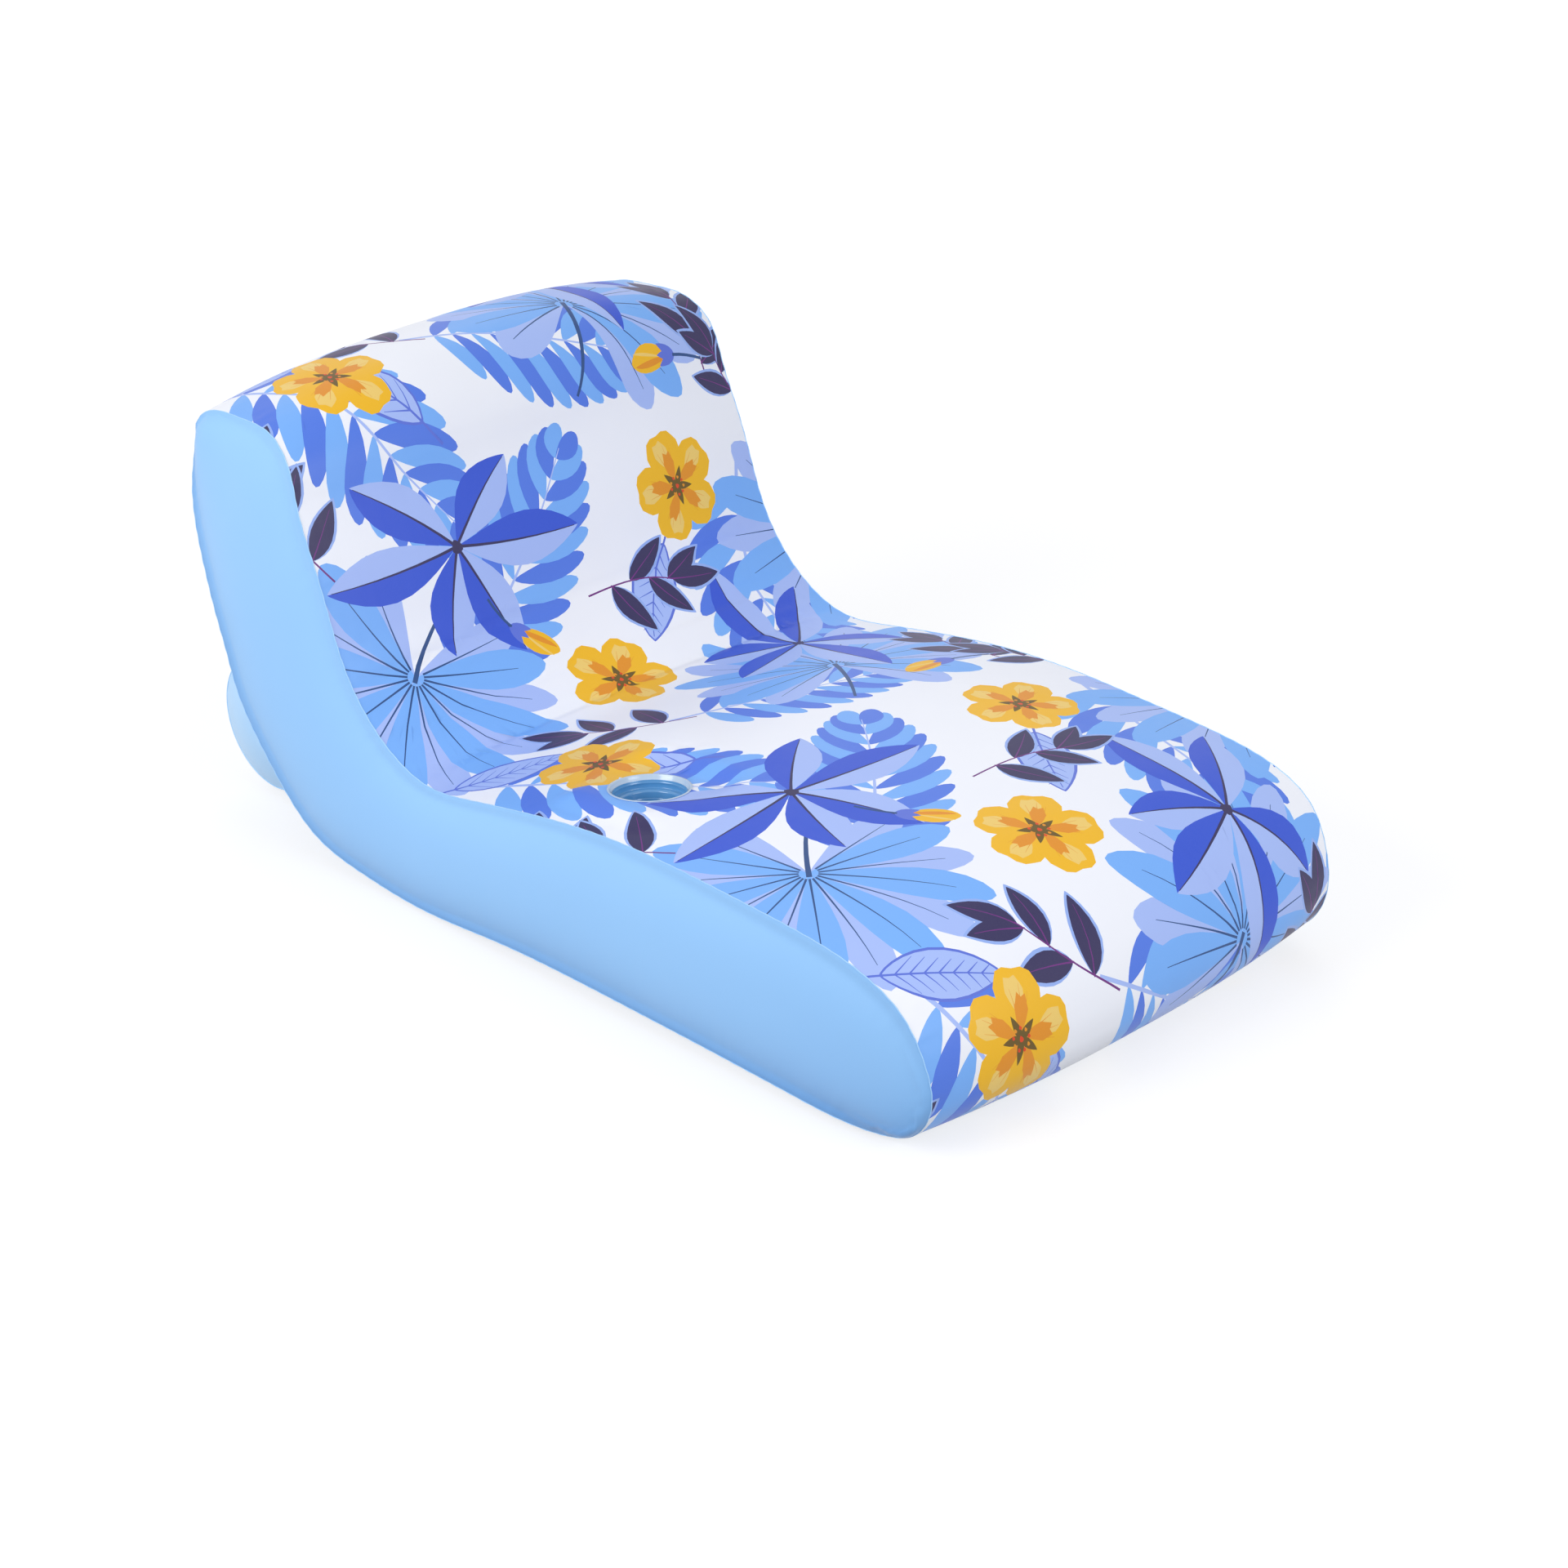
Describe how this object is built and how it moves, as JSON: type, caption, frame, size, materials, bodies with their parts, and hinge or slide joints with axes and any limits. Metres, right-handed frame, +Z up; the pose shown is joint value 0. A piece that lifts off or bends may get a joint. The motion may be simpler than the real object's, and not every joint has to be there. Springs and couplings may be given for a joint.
{
  "type": "inflatable pool lounger",
  "caption": "Inflatable vinyl pool lounger: wedge-shaped seat rising into a backrest, air bolster behind it, sunk cup holder and air valves.",
  "frame": {"origin": "middle of the bounding box, on the ground", "axes": "+X towards the foot end, +Z up, -Y the side with the cup holder"},
  "size_m": [1.6299, 0.94, 0.7197],
  "materials": {
    "printed_vinyl": "satin printed vinyl sheet",
    "side_vinyl": "satin light blue vinyl sheet",
    "bolster_vinyl": "satin pale blue vinyl sheet",
    "clear_vinyl": "clear blue tinted vinyl",
    "teal_vinyl": "teal vinyl disc",
    "valve_plastic": "clear blue soft valve plastic",
    "web_vinyl": "plain whitish vinyl sheet"
  },
  "bodies": {
    "root": {"top_panel": "printed_vinyl", "bottom_panel": "side_vinyl", "side_panel_right": "side_vinyl", "side_panel_left": "side_vinyl", "web_back_upper": "web_vinyl", "web_back_lower": "web_vinyl", "web_crease": "web_vinyl", "web_seat": "web_vinyl", "web_foot": "web_vinyl", "cup_flange": "clear_vinyl", "cup_wall": "clear_vinyl", "cup_floor": "teal_vinyl", "bolster_tube": "bolster_vinyl", "bolster_end_right": "bolster_vinyl", "bolster_end_left": "bolster_vinyl", "bolster_strip_upper": "clear_vinyl", "bolster_strip_lower": "clear_vinyl", "main_valve_base": "valve_plastic", "bolster_valve_base": "valve_plastic"},
    "main_valve_stem": {"main_valve_stem": "valve_plastic"},
    "main_valve_plug": {"main_valve_plug": "valve_plastic"},
    "main_valve_flap": {"main_valve_flap": "web_vinyl"},
    "bolster_valve_stem": {"bolster_valve_stem": "valve_plastic"},
    "bolster_valve_plug": {"bolster_valve_plug": "valve_plastic"},
    "bolster_valve_flap": {"bolster_valve_flap": "web_vinyl"}
  },
  "joints": [
    {"name": "main_valve_stem_slide", "type": "slide", "parent": "root", "child": "main_valve_stem", "axis": [-0.8933, 0.02, -0.4489], "range_m": [0, 0.01]},
    {"name": "main_valve_plug_hinge", "type": "hinge", "parent": "main_valve_stem", "child": "main_valve_plug", "pos_m": [-0.74466, 0.19802, 0.38721], "axis": [0.004, 0.9993, 0.0366], "range_deg": [0, 150]},
    {"name": "main_valve_flap_hinge", "type": "hinge", "parent": "main_valve_stem", "child": "main_valve_flap", "pos_m": [-0.7166, 0.19759, 0.39594], "axis": [-0.004, -0.9993, -0.0366], "range_deg": [0, 40]},
    {"name": "bolster_valve_stem_slide", "type": "slide", "parent": "root", "child": "bolster_valve_stem", "axis": [0, 1, 0], "range_m": [0, 0.01]},
    {"name": "bolster_valve_plug_hinge", "type": "hinge", "parent": "bolster_valve_stem", "child": "bolster_valve_plug", "pos_m": [-0.70746, 0.38455, 0.13888], "axis": [0.7985, 0, 0.6019], "range_deg": [0, 150]},
    {"name": "bolster_valve_flap_hinge", "type": "hinge", "parent": "bolster_valve_stem", "child": "bolster_valve_flap", "pos_m": [-0.70457, 0.35555, 0.13504], "axis": [-0.7985, 0, -0.6019], "range_deg": [0, 40]}
  ]
}
